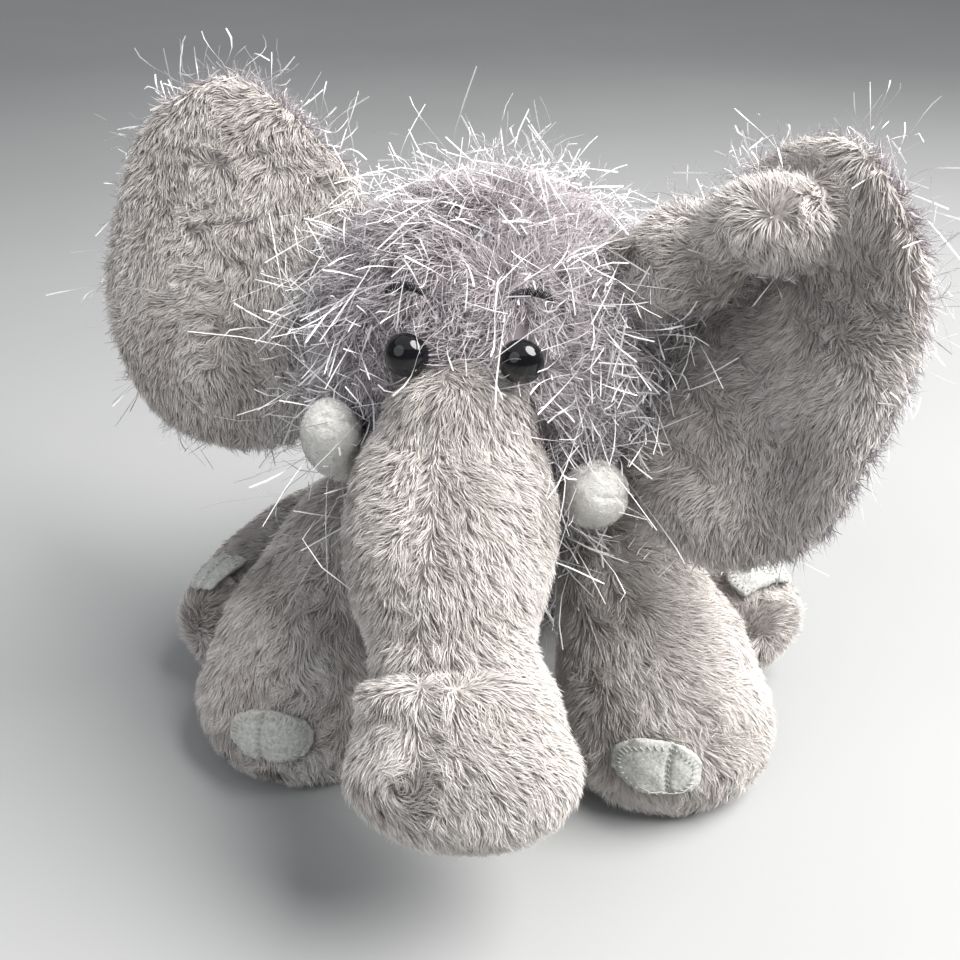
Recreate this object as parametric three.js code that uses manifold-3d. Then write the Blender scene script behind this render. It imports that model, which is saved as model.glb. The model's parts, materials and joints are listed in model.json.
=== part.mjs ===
// Stuffed elephant, sitting upright: forelegs planted in front, hind legs out to the sides,
// trunk hanging over the gap between the forefeet.
// Millimetres, +Z up. The elephant faces -Y; its own left side is +X. The table is z = 0.
// Every cover is a separate shell round its own filling; solids stand for cloth plus its pile.

import * as THREE from 'three';
import { mergeVertices } from 'three/addons/utils/BufferGeometryUtils.js';
import Module from 'manifold-3d';

const wasm = await Module();
wasm.setup();

// ---- driving dimensions -------------------------------------------------------------------
const GAP = 0.3; // between pieces sewn or packed together
const SEAT_GAP = 1.6; // round a sewn limb that can be swung
const WALL = 3; // cloth plus pile
const CENTRE_SHIFT = [6.369, 15.649, 0]; // puts the middle of the whole outline on x = y = 0

const HEAD = { at: [0, -20, 98], r: [39, 36, 35] };
const NOD = { pivot: [0, -6, 72], low: -10, high: 6 };

const BODY_PATH = [[0, 62, 23], [0, 36, 26.5], [0, 10, 41], [0, -10, 74]];
const BODY_GIRTH = [[0, 30, 26], [0.35, 38, 35], [0.7, 33, 32], [1, 24, 24]];
const NECK_OPENING = { at: [0, -10, 66], r: 13 };
const POUCH = { at: [0, 33, 10], r: [12, 13, 8] };

const TRUNK = {
  path: [[0, -38, 90], [-2, -53, 82], [-1, -69, 66], [2, -82, 50]],
  girth: [[0, 20, 17], [0.45, 22, 18.5], [1, 19.5, 17]],
  pivot: [0, -50, 93],
  low: -3,
  high: 30,
};
const TIP = {
  path: [[1.5, -74, 62], [3, -84, 50], [5.5, -96, 38], [6.5, -106, 33]],
  girth: [[0, 18.5, 16.4], [0.45, 20.5, 17.5], [0.75, 25, 17.5], [1, 22, 15.5]],
  pivot: [2, -82, 53],
  low: -6,
  high: 35,
  mouth: 9,
};
const CREASE = { at: [2, -83.2, 51.2], along: [0.06, -0.72, -0.69] };

// Tusks are listed on the +X side; the left one hangs lower because the head leans that way.
const TUSK_GIRTH = [[0, 6.5, 6.5], [0.5, 8, 8], [1, 7.5, 7.5]];
const TUSK_LEFT = { path: [[25, -33, 74], [25.5, -43, 73], [26.5, -53, 81]], girth: TUSK_GIRTH };
const TUSK_RIGHT = { path: [[25, -36, 75], [27.5, -45, 81], [28.5, -53, 94]], girth: TUSK_GIRTH };
const EYE = { x: 10.5, z: 107, r: 4.5, dome: 3.9, shank: 1.5, length: 6.8, washer: 4.2, washerThick: 1 };
const BROW = { x: [7.6, 11.4, 15.6], z: [117.2, 118.2, 116.4], thread: 0.8 };

const EAR_EDGE = [
  [-9, -20], [4, -37], [32, -41], [50, -25], [57, 2], [53, 29], [36, 44], [13, 39], [-8, 24],
];
const EAR = { front: 4.6, back: 3.4, centre: [24, 0], firstPoint: 0.586, gap: 0.7 }; // firstPoint is in turns
const EAR_RIGHT = {
  side: -1, at: [38, -13, 97], roll: 18, yaw: 6, pitch: -12, bow: 5, fold: 0, low: -12, high: 30,
};
const EAR_LEFT = {
  side: 1, at: [38.5, -21, 100], roll: 6, yaw: -51, pitch: -24, bow: -4, fold: 9, low: -5, high: 6,
};

// Legs are listed on the +X side; the right ones are mirrored. Each hind foot is pressed flat against
// the forefoot beside it, along an upright plane. The right hind foot rests further forward.
const PRESS_GAP = 0.9; // from the plane to each of the two feet
const PRESS_LEFT = { at: [61.3, -26.1, 0], normal: [0.77, 0.64, 0] };
const PRESS_RIGHT = { at: [60.2, -30.2, 0], normal: [0.8, 0.6, 0] };
const SOLE = 3;
const NAIL_THICK = 1.9; // height of the toenails above the leg
const FORELEG_LEFT = {
  path: [[28, -22, 62], [34, -30, 44], [43.5, -40, 20], [47.5, -44, -8]],
  girth: [[0, 16.5, 16.5], [0.3, 18.3, 18], [0.62, 24.5, 24], [0.8, 30, 29], [1, 31, 29]],
  sole: [45.5, -42.5, 0],
  normal: [0, 0, -1],
  nail: { at: [42.5, -70, 20], r: [13, 9, 7] },
  pivot: [30, -24, 54],
  low: 0,
  high: 10,
};
const FORELEG_RIGHT = {
  ...FORELEG_LEFT,
  path: [[28, -22, 62], [33, -31, 44], [40.5, -43, 20], [43, -48, -8]],
  sole: [42, -46, 0],
  nail: { at: [42.5, -73, 20.5], r: [12.5, 9, 6.5] },
};
const HIND_GIRTH = [[0, 18, 18.5], [0.4, 18.5, 19], [0.75, 17.5, 18], [1, 16, 16.5]];
const HINDLEG_LEFT = {
  path: [[30, 34, 21.5], [46, 17, 20.5], [60, -2, 19.5], [76, -25, 18.5]],
  girth: HIND_GIRTH,
  sole: [71, -18, 18.8],
  normal: [0.56, -0.82, -0.06],
  nail: { at: [69, -14, 36], r: [10, 9, 6] },
  pivot: [36, 27, 22],
  low: 0,
  high: 22,
};
const HINDLEG_RIGHT = {
  ...HINDLEG_LEFT,
  path: [[31, 28, 21.5], [47, 8, 20.5], [60, -18, 19.5], [69, -48, 18.5]],
  sole: [66, -40, 18.8],
  normal: [0.3, -0.95, -0.06],
  nail: { at: [65, -35, 36], r: [10, 9, 6] },
};
const TAIL = { path: [[0, 62, 30], [0, 68, 23], [0, 71, 14]], girth: [[0, 3.6, 3.6], [1, 3, 3]] };
const TUFT = {
  path: [[0, 71, 15], [0, 72.6, 10], [1, 75, 5.5]],
  girth: [[0, 2.2, 2.2], [0.5, 4.4, 4.2], [1, 3, 3]],
};
const TAIL_SWING = { pivot: [0, 62, 29], low: -25, high: 25 };

// ---- materials ----------------------------------------------------------------------------
const MATERIALS = {
  plush: [0xa59b93, 0.95],
  fringe: [0x9a9096, 0.9],
  felt: [0xb9bab0, 0.9],
  velboa: [0xe9e6df, 0.85],
  eye: [0x0b0b0d, 0.15],
  thread: [0x17161a, 0.6],
  fibre: [0xf2f0ea, 1],
  pouch: [0xd8d4c8, 0.9],
  washer: [0xe6e6e6, 0.5],
};

// ---- solid modelling helpers --------------------------------------------------------------
function solid(geometry) {
  const bare = geometry.clone();
  bare.deleteAttribute('normal');
  bare.deleteAttribute('uv');
  const joined = mergeVertices(bare, 1e-4);
  return new wasm.Manifold(new wasm.Mesh({
    numProp: 3,
    vertProperties: new Float32Array(joined.attributes.position.array),
    triVerts: new Uint32Array(joined.index.array),
  }));
}

function surface(body) {
  const mesh = body.getMesh();
  const geometry = new THREE.BufferGeometry();
  geometry.setAttribute('position', new THREE.BufferAttribute(new Float32Array(mesh.vertProperties), 3));
  geometry.setIndex(new THREE.BufferAttribute(new Uint32Array(mesh.triVerts), 1));
  return geometry;
}

const without = (body, ...tools) => tools.reduce((rest, tool) => rest.subtract(tool), body);
const vector = (p) => new THREE.Vector3(...p);
const fromY = (normal) => new THREE.Quaternion().setFromUnitVectors(vector([0, 1, 0]), normal);

// Girth at station t, read between the listed [station, half width, half depth] rows.
function girthAt(girth, t) {
  let i = 0;
  while (i < girth.length - 2 && t > girth[i + 1][0]) i += 1;
  const [t0, w0, d0] = girth[i];
  const [t1, w1, d1] = girth[i + 1];
  const k = THREE.MathUtils.smoothstep(t, t0, t1);
  return [w0 + (w1 - w0) * k, d0 + (d1 - d0) * k];
}

// A stuffed tube along a path with full, rounded ends; grow fattens it and lengthens both ends.
function stuffed({ path, girth }, grow = 0, around = 18, along = 12, roundness = 2.6) {
  const curve = new THREE.CatmullRomCurve3(path.map(vector));
  const geometry = new THREE.SphereGeometry(1, around, along);
  const position = geometry.attributes.position;
  const v = new THREE.Vector3();
  for (let i = 0; i < position.count; i += 1) {
    v.fromBufferAttribute(position, i);
    const s = THREE.MathUtils.clamp(-v.y, -1, 1);
    const t = (1 + s) / 2;
    const tangent = curve.getTangentAt(t);
    const wide = new THREE.Vector3(1, 0, 0).addScaledVector(tangent, -tangent.x).normalize();
    const deep = new THREE.Vector3().crossVectors(tangent, wide);
    const ring = Math.hypot(v.x, v.z);
    const full = (1 - Math.abs(s) ** roundness) ** (1 / roundness);
    const [w, d] = girthAt(girth, t);
    const out = ring > 1e-6 ? full / ring : 0;
    const point = curve.getPointAt(t).addScaledVector(tangent, grow * s);
    point.addScaledVector(wide, v.x * out * (w + grow));
    point.addScaledVector(deep, v.z * out * (d + grow));
    position.setXYZ(i, point.x, point.y, point.z);
  }
  return solid(geometry);
}

function ellipsoid({ at, r }, grow = 0, around = 28, down = 18) {
  const geometry = new THREE.SphereGeometry(1, around, down);
  geometry.scale(r[0] + grow, r[1] + grow, r[2] + grow);
  geometry.translate(...at);
  return solid(geometry);
}

// A block whose +Y face passes through `at`, square to `normal`, with everything in front of it.
function halfSpace(at, normal, size = 240) {
  const geometry = new THREE.BoxGeometry(size, size, size);
  geometry.translate(0, size / 2, 0);
  geometry.applyQuaternion(fromY(vector(normal).normalize()));
  geometry.translate(...at);
  return solid(geometry);
}

function rod(at, normal, radius, from, to, around = 20) {
  const geometry = new THREE.CylinderGeometry(radius, radius, to - from, around);
  geometry.translate(0, (from + to) / 2, 0);
  geometry.applyQuaternion(fromY(normal));
  geometry.translate(at.x, at.y, at.z);
  return solid(geometry);
}

function turned(body, pivot, axis, degrees) {
  const geometry = surface(body);
  geometry.translate(-pivot[0], -pivot[1], -pivot[2]);
  const angle = THREE.MathUtils.degToRad(degrees);
  geometry.applyQuaternion(new THREE.Quaternion().setFromAxisAngle(vector(axis).normalize(), angle));
  geometry.translate(...pivot);
  return solid(geometry);
}

// The space a limb needs: the fattened limb at both ends of its swing and every `step` degrees or so between.
function swept(body, { pivot, low, high }, axis = [1, 0, 0], step = 20) {
  const steps = Math.max(1, Math.round((high - low) / step));
  let room = turned(body, pivot, axis, low);
  for (let k = 1; k <= steps; k += 1) {
    room = room.add(turned(body, pivot, axis, low + ((high - low) * k) / steps));
  }
  return room;
}

function mirrored(body) {
  const geometry = surface(body);
  geometry.scale(-1, 1, 1);
  const index = geometry.index;
  for (let i = 0; i < index.count; i += 3) {
    const keep = index.getX(i);
    index.setX(i, index.getX(i + 2));
    index.setX(i + 2, keep);
  }
  return solid(geometry);
}

// Pieces are listed on the +X side, which is the elephant's left.
const onSide = (side, body) => (side === 'left' ? body : mirrored(body));

const INNER = [12, 8]; // coarser facets inside, where cloth meets filling

// ---- legs ---------------------------------------------------------------------------------
const inset = (leg, depth) => leg.sole.map((c, i) => c - depth * leg.normal[i]);

// `press` is the plane that the leg is pressed against, with its normal pointing away from the leg.
function buildLeg(leg, press) {
  const pressed = (depth) => {
    const back = PRESS_GAP + depth;
    return halfSpace(press.at.map((c, i) => c - back * press.normal[i]), press.normal);
  };
  const outer = without(stuffed(leg), pressed(0));
  const beyond = (depth) => halfSpace(inset(leg, depth), leg.normal);
  const patch = ellipsoid(leg.nail, 0, 20, 12);
  const hollow = without(stuffed(leg, -WALL, ...INNER), pressed(WALL));
  const cover = without(outer, hollow, beyond(SOLE + GAP));
  const stuffing = stuffed(leg, -WALL - GAP, ...INNER);
  const filling = without(stuffing, beyond(SOLE + 2 * GAP), pressed(WALL + GAP));
  const before = halfSpace(inset(leg, SOLE), leg.normal.map((c) => -c));
  const sole = without(outer, beyond(0), before);
  const skin = without(stuffed(leg, NAIL_THICK), stuffed(leg, GAP), beyond(SOLE + GAP), pressed(0));
  return { cover, filling, sole, nail: skin.intersect(patch) };
}

// ---- ears ---------------------------------------------------------------------------------
// Depth of the ear's mid surface: bowed, and on a folded ear creased along a falling diagonal.
function earDepth(u, v, ear) {
  const across = (u - EAR.centre[0]) / 34;
  const up = (v - EAR.centre[1]) / 42;
  const bow = ear.bow * (1 - across * across * 0.8 - up * up * 0.5);
  const diagonal = (across * 0.75 + up * 0.66) / 0.35;
  const valley = Math.exp(-diagonal * diagonal);
  const lip = THREE.MathUtils.smoothstep(up, 0.35, 1.05);
  return bow - ear.fold * valley * 0.7 + ear.fold * lip * 1.1;
}

function earFrame(ear) {
  const d = THREE.MathUtils.degToRad;
  const turn = new THREE.Euler(d(ear.pitch), d(-ear.roll), d(ear.yaw), 'ZXY');
  return new THREE.Matrix4().makeRotationFromEuler(turn).setPosition(...ear.at);
}

// One panel of an ear, on the +X side: flat against the mid surface, rounded outside.
function earPanel(ear, facing, thick) {
  const edge = new THREE.CatmullRomCurve3(EAR_EDGE.map(([u, v]) => new THREE.Vector3(u, v, 0)), true);
  const geometry = new THREE.SphereGeometry(1, 26, 10);
  geometry.rotateX(Math.PI / 2);
  const position = geometry.attributes.position;
  const v = new THREE.Vector3();
  for (let i = 0; i < position.count; i += 1) {
    v.fromBufferAttribute(position, i);
    const ring = Math.min(1, Math.hypot(v.x, v.y));
    const reach = ring > 1e-6 ? (Math.atan2(v.y, v.x) / (2 * Math.PI) + 1) % 1 : 0;
    const rim = edge.getPointAt((reach + 1 - EAR.firstPoint) % 1);
    const u = EAR.centre[0] + (rim.x - EAR.centre[0]) * ring;
    const w = EAR.centre[1] + (rim.y - EAR.centre[1]) * ring;
    const swell = v.z * facing > 1e-6 ? thick * (1 - ring ** 3) ** (1 / 3) : 0;
    const depth = earDepth(u, w, ear) + facing * (EAR.gap / 2 + swell);
    position.setXYZ(i, u, -depth, w);
  }
  geometry.applyMatrix4(earFrame(ear));
  return solid(geometry);
}

function buildEar(ear, head) {
  const axis = new THREE.Vector3(0, 0, 1).transformDirection(earFrame(ear)).toArray();
  const clear = swept(head, { pivot: ear.at, low: ear.low, high: ear.high }, axis);
  const panels = [earPanel(ear, 1, EAR.front), earPanel(ear, -1, EAR.back)].map((p) => without(p, clear));
  return ear.side > 0 ? panels : panels.map(mirrored);
}

// ---- eyes and brows -----------------------------------------------------------------------
function onHead(x, z, lift = 0) {
  const [cx, cy, cz] = HEAD.at;
  const [rx, ry, rz] = HEAD.r;
  const y = cy - ry * Math.sqrt(1 - ((x - cx) / rx) ** 2 - ((z - cz) / rz) ** 2);
  const normal = new THREE.Vector3((x - cx) / rx ** 2, (y - cy) / ry ** 2, (z - cz) / rz ** 2).normalize();
  return { at: new THREE.Vector3(x, y, z).addScaledVector(normal, lift), normal };
}

function buildEye(side) {
  const { at, normal } = onHead(side * EYE.x, EYE.z, 0);
  const profile = [[0, -EYE.length], [EYE.shank, -EYE.length], [EYE.shank, GAP + 0.2], [EYE.r, GAP + 0.9]];
  for (let k = 1; k <= 8; k += 1) {
    const a = (k / 8) * (Math.PI / 2);
    profile.push([EYE.r * Math.cos(a), GAP + 0.9 + EYE.dome * Math.sin(a)]);
  }
  profile[profile.length - 1][0] = 0;
  const geometry = new THREE.LatheGeometry(profile.map(([r, h]) => new THREE.Vector2(r, h)), 24);
  geometry.applyQuaternion(fromY(normal));
  geometry.translate(at.x, at.y, at.z);
  const under = -WALL - 1.2;
  const disc = rod(at, normal, EYE.washer, under - EYE.washerThick, under, 24);
  return {
    eye: solid(geometry),
    washer: without(disc, rod(at, normal, EYE.shank + 0.2, under - 2, under + 1)),
    hole: rod(at, normal, EYE.shank + GAP, -EYE.length - GAP, 2),
    dish: rod(at, normal, EYE.r + GAP, -0.2, 8, 24),
    room: rod(at, normal, EYE.washer + GAP, under - 6, under + 2.6, 24),
    seat: rod(at, normal, EYE.washer + GAP, under - 6, under + GAP, 24),
  };
}

function buildBrow(side) {
  const path = BROW.x.map((x, i) => onHead(side * x, BROW.z[i], BROW.thread + 0.5).at.toArray());
  return stuffed({ path, girth: [[0, BROW.thread, BROW.thread], [1, BROW.thread, BROW.thread]] }, 0, 8, 10);
}

// ---- assembly -----------------------------------------------------------------------------
const parts = [];
const add = (name, material, body) => parts.push([name, material, body]);

// A positive swing lifts a foot forwards and up, which is a negative turn about +X.
function legRoom(leg, extra, step) {
  return swept(stuffed(leg, extra, 12, 7), { ...leg, low: -leg.high, high: -leg.low }, [1, 0, 0], step);
}
const reversed = ({ at, normal }) => ({ at, normal: normal.map((c) => -c) });
const LEGS = [
  ['foreleg', 'left', FORELEG_LEFT, PRESS_LEFT],
  ['foreleg', 'right', FORELEG_RIGHT, PRESS_RIGHT],
  ['hindleg', 'left', HINDLEG_LEFT, reversed(PRESS_LEFT)],
  ['hindleg', 'right', HINDLEG_RIGHT, reversed(PRESS_RIGHT)],
];
for (const [name, side, leg, press] of LEGS) {
  const built = buildLeg(leg, press);
  add(`${name}_cover_${side}`, 'plush', onSide(side, built.cover));
  add(`${name}_filling_${side}`, 'fibre', onSide(side, built.filling));
  add(`${name}_sole_${side}`, 'plush', onSide(side, built.sole));
  add(`${name}_toenails_${side}`, 'felt', onSide(side, built.nail));
}

// Room for everything that swings against the body.
function limbRoom(extra) {
  const legs = LEGS.map(([, side, leg]) => onSide(side, legRoom(leg, extra)));
  const head = swept(ellipsoid(HEAD, extra, 18, 12), NOD);
  const tail = swept(stuffed(TAIL, extra, 8, 5), TAIL_SWING, [0, 0, 1]);
  return [...legs, head, tail];
}

const BODY = { path: BODY_PATH, girth: BODY_GIRTH };
const below = (z) => halfSpace([0, 0, z], [0, 0, -1], 400);
const bodyOuter = without(stuffed(BODY, 0, 24, 14), below(0), ...limbRoom(SEAT_GAP));
const bodyInner = without(stuffed(BODY, -WALL, 16, 10), below(WALL), ...limbRoom(SEAT_GAP + WALL));
const neck = rod(vector(NECK_OPENING.at), vector([0, -0.35, 0.94]).normalize(), NECK_OPENING.r, -8, 30);
const pouch = without(ellipsoid(POUCH, 0, 18, 10), below(WALL + GAP + 0.1));
const bodyFilling = without(
  stuffed(BODY, -WALL - GAP, 16, 10),
  below(WALL + GAP),
  ...limbRoom(SEAT_GAP + WALL + GAP),
  ellipsoid(POUCH, GAP, 18, 10),
);
add('body_cover', 'fringe', without(bodyOuter, bodyInner, neck));
add('body_filling', 'fibre', bodyFilling);
add('seat_pellet_pouch', 'pouch', pouch);

const headOuter = ellipsoid(HEAD, 0, 26, 16);
const headClear = ellipsoid(HEAD, 0.5);
const lift = { ...TRUNK, low: -TRUNK.high, high: -TRUNK.low };
const trunkRoom = (extra) => swept(stuffed(TRUNK, extra, 14, 8), lift);
const eyes = [1, -1].map(buildEye);
const neckSocket = rod(vector(NECK_OPENING.at), vector([0, -0.35, 0.94]).normalize(), NECK_OPENING.r, -8, 14);
const headCover = without(
  headOuter,
  without(ellipsoid(HEAD, -WALL, 18, 12), trunkRoom(SEAT_GAP + WALL)),
  trunkRoom(SEAT_GAP),
  neckSocket,
  ...eyes.flatMap((e) => [e.hole, e.dish, e.seat]),
);
const headFilling = without(
  ellipsoid(HEAD, -WALL - GAP, 18, 12),
  trunkRoom(SEAT_GAP + WALL + GAP),
  ...eyes.map((e) => e.room),
);
add('head_cover', 'fringe', headCover);
add('head_filling', 'fibre', headFilling);

const upTo = (depth) => halfSpace(CREASE.at.map((c, i) => c - depth * CREASE.along[i]), CREASE.along);
const tipRoom = (extra) => swept(stuffed(TIP, extra, 14, 8), { ...TIP, low: -TIP.high, high: -TIP.low });
const trunkCavity = stuffed(TRUNK, -WALL, ...INNER);
const trunkFilling = stuffed(TRUNK, -WALL - GAP, ...INNER);
add('trunk_cover', 'plush', without(stuffed(TRUNK), trunkCavity, upTo(0), tipRoom(SEAT_GAP)));
add('trunk_filling', 'fibre', without(trunkFilling, upTo(1), tipRoom(SEAT_GAP + GAP)));
const tipMouth = rod(vector(TIP.path[0]), vector(CREASE.along).negate().normalize(), TIP.mouth, -6, 8);
add('trunk_tip_cover', 'plush', without(stuffed(TIP), stuffed(TIP, -WALL, ...INNER), tipMouth));
add('trunk_tip_filling', 'fibre', stuffed(TIP, -WALL - GAP, ...INNER));

const beside = [headClear, trunkRoom(SEAT_GAP)];
add('tusk_left', 'velboa', without(stuffed(TUSK_LEFT, 0, 14, 10), ...beside));
add('tusk_right', 'velboa', without(mirrored(stuffed(TUSK_RIGHT, 0, 14, 10)), ...beside));
eyes.forEach((e, i) => {
  const side = i === 0 ? 'left' : 'right';
  add(`eye_${side}`, 'eye', e.eye);
  add(`eye_washer_${side}`, 'washer', e.washer);
  add(`brow_${side}`, 'thread', buildBrow(i === 0 ? 1 : -1));
});
for (const [side, ear] of [['left', EAR_LEFT], ['right', EAR_RIGHT]]) {
  const [front, back] = buildEar(ear, headClear);
  add(`ear_front_${side}`, 'plush', front);
  add(`ear_back_${side}`, 'fringe', back);
}

add('tail_cover', 'fringe', stuffed(TAIL, 0, 12, 8));
add('tail_tuft', 'fringe', without(stuffed(TUFT, 0, 12, 8), stuffed(TAIL, GAP, 12, 8)));

const elephant = new THREE.Group();
elephant.name = 'stuffed_elephant';
for (const [name, material, body] of parts) {
  const [color, roughness] = MATERIALS[material];
  const geometry = surface(body);
  geometry.translate(...CENTRE_SHIFT);
  geometry.computeVertexNormals();
  const mesh = new THREE.Mesh(geometry, new THREE.MeshStandardMaterial({ color, roughness, metalness: 0 }));
  mesh.name = name;
  elephant.add(mesh);
}

export default elephant;
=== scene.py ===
# Stuffed elephant: the look of each soft part, built round the CAD frame.
# Every stuffed part is one mesh: a cloth skin grown from its CAD cover, plus its pile or fringe
# as real strands.
import json
import math
import bmesh
import bpy
import numpy as np
from mathutils import Matrix, Vector
from mathutils.bvhtree import BVHTree
from mathutils.kdtree import KDTree


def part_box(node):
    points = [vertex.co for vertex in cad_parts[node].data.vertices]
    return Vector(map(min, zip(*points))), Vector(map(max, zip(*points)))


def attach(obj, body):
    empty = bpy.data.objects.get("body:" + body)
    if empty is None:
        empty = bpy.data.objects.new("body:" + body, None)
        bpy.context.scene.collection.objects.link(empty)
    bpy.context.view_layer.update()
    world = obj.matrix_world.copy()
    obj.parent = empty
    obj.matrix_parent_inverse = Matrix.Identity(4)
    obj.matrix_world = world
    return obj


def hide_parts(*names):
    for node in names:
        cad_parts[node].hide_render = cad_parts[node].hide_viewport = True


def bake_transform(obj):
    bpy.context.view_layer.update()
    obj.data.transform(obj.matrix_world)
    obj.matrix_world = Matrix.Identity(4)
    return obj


MM = 0.001
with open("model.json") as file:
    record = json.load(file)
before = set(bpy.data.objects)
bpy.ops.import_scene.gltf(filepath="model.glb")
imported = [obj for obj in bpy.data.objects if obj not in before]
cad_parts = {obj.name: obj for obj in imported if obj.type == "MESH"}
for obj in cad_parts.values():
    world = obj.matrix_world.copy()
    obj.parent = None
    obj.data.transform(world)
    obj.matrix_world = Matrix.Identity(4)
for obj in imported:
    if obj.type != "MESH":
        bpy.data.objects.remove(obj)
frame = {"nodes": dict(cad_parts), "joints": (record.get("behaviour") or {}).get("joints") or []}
bpy.context.view_layer.update()
JOINTS = {joint["name"]: joint for joint in frame["joints"]}


def box_centre(*nodes):
    corners = [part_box(node) for node in nodes]
    low = np.min([np.array(c[0]) for c in corners], axis=0)
    high = np.max([np.array(c[1]) for c in corners], axis=0)
    return (low + high) / 2, (high - low) / 2


def unit(v):
    v = np.asarray(v, float)
    return v / np.maximum(np.linalg.norm(v, axis=-1, keepdims=True), 1e-9)


def smooth(x, start, end):
    t = np.clip((np.asarray(x, float) - start) / (end - start), 0, 1)
    return t * t * (3 - 2 * t)


# ---- camera -------------------------------------------------------------------------------
CAMERA = {"azimuth": 8, "elevation": 31, "distance": 232 * MM, "focal_in_widths": 1.0520833}
TARGET = Vector((0.00637, -0.01435, 0.064))
SHIFT = (-0.002, 0.0104)


def make_camera():
    camera = bpy.data.objects.new("camera", bpy.data.cameras.new("camera"))
    bpy.context.scene.collection.objects.link(camera)
    a, e = math.radians(CAMERA["azimuth"]), math.radians(CAMERA["elevation"])
    back = Vector((math.sin(a) * math.cos(e), -math.cos(a) * math.cos(e), math.sin(e)))
    camera.location = TARGET + back * CAMERA["distance"]
    camera.rotation_euler = back.to_track_quat("Z", "Y").to_euler()
    camera.data.sensor_width = 36
    camera.data.lens = 36 * CAMERA["focal_in_widths"]
    camera.data.shift_x, camera.data.shift_y = SHIFT
    camera.data.clip_start = 0.005
    bpy.context.scene.camera = camera


make_camera()


# ---- materials ----------------------------------------------------------------------------
def new_material(name, roughness, sheen=0.0, specular=0.5):
    material = bpy.data.materials.new(name)
    material.use_nodes = True
    tree = material.node_tree
    shader = tree.nodes["Principled BSDF"]
    shader.inputs["Roughness"].default_value = roughness
    shader.inputs["Sheen Weight"].default_value = sheen
    shader.inputs["Sheen Roughness"].default_value = 0.4
    shader.inputs["Specular IOR Level"].default_value = specular
    return material, tree, shader


def ramp(tree, stops, factor):
    node = tree.nodes.new("ShaderNodeValToRGB")
    elements = node.color_ramp.elements
    while len(elements) < len(stops):
        elements.new(0.5)
    for element, (place, color) in zip(elements, stops):
        element.position = place
        element.color = (*color, 1)
    tree.links.new(factor, node.inputs["Fac"])
    return node.outputs["Color"]


def multiply(tree, a, b):
    node = tree.nodes.new("ShaderNodeMix")
    node.data_type = "RGBA"
    node.blend_type = "MULTIPLY"
    node.inputs["Factor"].default_value = 1
    tree.links.new(a, node.inputs[6])
    tree.links.new(b, node.inputs[7])
    return node.outputs[2]


def strand_material(name, along, across, roughness, sheen, specular=0.4):
    """Colour along a strand from root (0) to tip (1), times a shade that varies from strand to strand."""
    material, tree, shader = new_material(name, roughness, sheen, specular)
    uv = tree.nodes.new("ShaderNodeUVMap")
    uv.uv_map = "OFBake"
    split = tree.nodes.new("ShaderNodeSeparateXYZ")
    tree.links.new(uv.outputs["UV"], split.inputs["Vector"])
    color = multiply(
        tree, ramp(tree, along, split.outputs["Y"]), ramp(tree, across, split.outputs["X"])
    )
    tree.links.new(color, shader.inputs["Base Color"])
    return material


def noise(tree, scale, detail=4):
    source = tree.nodes.new("ShaderNodeTexCoord")
    node = tree.nodes.new("ShaderNodeTexNoise")
    node.inputs["Scale"].default_value = scale
    node.inputs["Detail"].default_value = detail
    node.inputs["Roughness"].default_value = 0.6
    tree.links.new(source.outputs["Object"], node.inputs["Vector"])
    return node.outputs["Fac"]


def bump(tree, shader, height, strength, distance):
    node = tree.nodes.new("ShaderNodeBump")
    node.inputs["Strength"].default_value = strength
    node.inputs["Distance"].default_value = distance
    tree.links.new(height, node.inputs["Height"])
    tree.links.new(node.outputs["Normal"], shader.inputs["Normal"])


def cloth_material(name, dark, light, scale, roughness=0.9, sheen=0.3, depth=0.0002):
    """A fine mottled surface with its own relief: felt, thread, pouch cloth and washers."""
    material, tree, shader = new_material(name, roughness, sheen, 0.2)
    fine = noise(tree, scale)
    tree.links.new(ramp(tree, [(0.3, dark), (0.7, light)], fine), shader.inputs["Base Color"])
    bump(tree, shader, fine, 0.6, depth)
    return material


def eye_material():
    material, tree, shader = new_material("eye_black", 0.07, 0.0, 0.45)
    haze = noise(tree, 900, 3)
    tree.links.new(
        ramp(tree, [(0.3, (0.003, 0.003, 0.004)), (0.8, (0.006, 0.006, 0.008))], haze),
        shader.inputs["Base Color"],
    )
    return material


PLUSH = strand_material(
    "plush",
    [(0.0, (0.40, 0.37, 0.355)), (0.45, (0.62, 0.585, 0.565)), (1.0, (0.86, 0.83, 0.805))],
    [(0.0, (0.66, 0.64, 0.63)), (0.5, (0.9, 0.89, 0.88)), (1.0, (1.0, 1.0, 1.0))],
    0.7, 0.35,
)
FUZZ = strand_material(
    "fringe_ground",
    [(0.0, (0.34, 0.305, 0.32)), (0.5, (0.53, 0.49, 0.505)), (1.0, (0.76, 0.73, 0.745))],
    [(0.0, (0.66, 0.64, 0.66)), (1.0, (1.0, 1.0, 1.0))],
    0.6, 0.3,
)
FILAMENT = strand_material(
    "fringe_filament",
    [
        (0.0, (0.40, 0.36, 0.38)),
        (0.45, (0.56, 0.52, 0.545)),
        (0.72, (0.72, 0.70, 0.71)),
        (0.85, (0.95, 0.95, 0.94)),
    ],
    [(0.0, (0.72, 0.69, 0.72)), (1.0, (1.0, 1.0, 1.0))],
    0.3, 0.1, 0.8,
)
NAP = strand_material(
    "velboa_nap",
    [(0.0, (0.74, 0.73, 0.70)), (1.0, (0.93, 0.92, 0.90))],
    [(0.0, (0.9, 0.9, 0.9)), (1.0, (1.0, 1.0, 1.0))],
    0.8, 0.3,
)
FELT = cloth_material("toenail_felt", (0.30, 0.305, 0.285), (0.54, 0.545, 0.52), 1400, depth=0.0004)
THREAD = cloth_material("satin_thread", (0.006, 0.006, 0.008), (0.02, 0.02, 0.024), 2500, 0.35, 0.1)
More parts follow.
